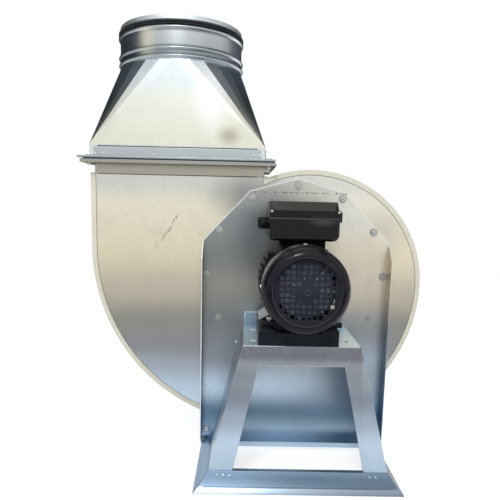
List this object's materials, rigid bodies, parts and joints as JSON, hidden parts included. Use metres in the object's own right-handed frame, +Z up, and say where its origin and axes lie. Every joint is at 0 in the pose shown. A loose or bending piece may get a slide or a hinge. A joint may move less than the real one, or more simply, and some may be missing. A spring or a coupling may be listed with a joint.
{
  "type": "centrifugal extractor fan",
  "caption": "Single inlet centrifugal extractor fan: galvanised scroll casing, round outlet on top, foot mounted motor on a sheet pedestal.",
  "frame": {"origin": "on the floor, straight below the shaft, in the middle plane of the casing, which is the centre of the four floor fixings", "axes": "+X to the right seen from the motor's side, +Y from the motor towards the inlet along the shaft, +Z up towards the outlet"},
  "size_m": [0.8446, 0.654, 1.057],
  "materials": {
    "galvanised_sheet": "hot dip galvanised sheet, satin, faint spangle",
    "seam_sealant": "cream seam compound over the folded edge, matt",
    "rubber": "black EPDM rubber, matt",
    "zinc_plated_steel": "zinc plated, semi bright",
    "cast_aluminium": "die cast, satin",
    "bright_steel": "turned and ground steel",
    "core_steel": "stacked laminations",
    "enamelled_copper": "varnished copper windings",
    "black_cast_aluminium": "die cast, painted black, satin",
    "black_painted_steel": "pressed steel, black paint, satin",
    "fan_plastic": "moulded nylon, matt, purple grey",
    "black_plastic": "moulded plastic, half gloss black",
    "capacitor_can": "white moulded can",
    "terminal_plastic": "moulded phenolic, brown"
  },
  "bodies": {
    "frame": {"drive_side_plate": "galvanised_sheet", "inlet_side_plate": "galvanised_sheet", "scroll_wrapper": "galvanised_sheet", "drive_seam_rim": "seam_sealant", "inlet_seam_rim": "seam_sealant", "outlet_flange": "galvanised_sheet", "flange_gasket": "rubber", "transition_flange": "galvanised_sheet", "flange_corner_bolts": "zinc_plated_steel", "transition_duct": "galvanised_sheet", "outlet_spigot": "galvanised_sheet", "spigot_gasket": "rubber", "inlet_spigot": "galvanised_sheet", "inlet_cone": "galvanised_sheet", "inlet_screws": "zinc_plated_steel", "support_plate": "galvanised_sheet", "support_plate_bolts": "zinc_plated_steel", "support_plate_washers": "zinc_plated_steel", "motor_platform": "galvanised_sheet", "right_pedestal_side": "galvanised_sheet", "left_pedestal_side": "galvanised_sheet", "platform_bolts": "zinc_plated_steel", "front_base_rail": "galvanised_sheet", "right_base_rail": "galvanised_sheet", "left_base_rail": "galvanised_sheet", "rear_right_rail": "galvanised_sheet", "rear_left_rail": "galvanised_sheet", "rear_cross_rail": "galvanised_sheet", "frame_joint_bolts": "zinc_plated_steel", "inlet_side_stay": "galvanised_sheet", "stay_bolts": "zinc_plated_steel", "motor_frame": "black_cast_aluminium", "drive_end_shield": "black_cast_aluminium", "fan_end_shield": "black_cast_aluminium", "bearing_outer_rings": "bright_steel", "stator_core": "core_steel", "stator_windings": "enamelled_copper", "motor_feet": "black_cast_aluminium", "raiser_rails": "black_painted_steel", "foot_bolts": "zinc_plated_steel", "foot_nuts": "zinc_plated_steel", "fan_cowl": "black_painted_steel", "cowl_screws": "zinc_plated_steel", "terminal_box": "black_plastic", "terminal_box_lid": "black_plastic", "lid_screws": "zinc_plated_steel", "cable_gland": "black_plastic", "run_capacitor": "capacitor_can", "terminal_block": "terminal_plastic"},
    "rotor": {"motor_shaft": "bright_steel", "rotor_core": "core_steel", "bearing_inner_rings": "bright_steel", "cooling_fan": "fan_plastic", "impeller_backplate": "galvanised_sheet", "impeller_blades": "galvanised_sheet", "impeller_shroud": "galvanised_sheet", "impeller_hub": "cast_aluminium", "shaft_key": "bright_steel", "hub_screw": "zinc_plated_steel"}
  },
  "joints": [
    {"name": "rotor_spin", "type": "hinge", "parent": "frame", "child": "rotor", "pos_m": [0, 0, 0.448], "axis": [0, 1, 0], "continuous": true}
  ]
}
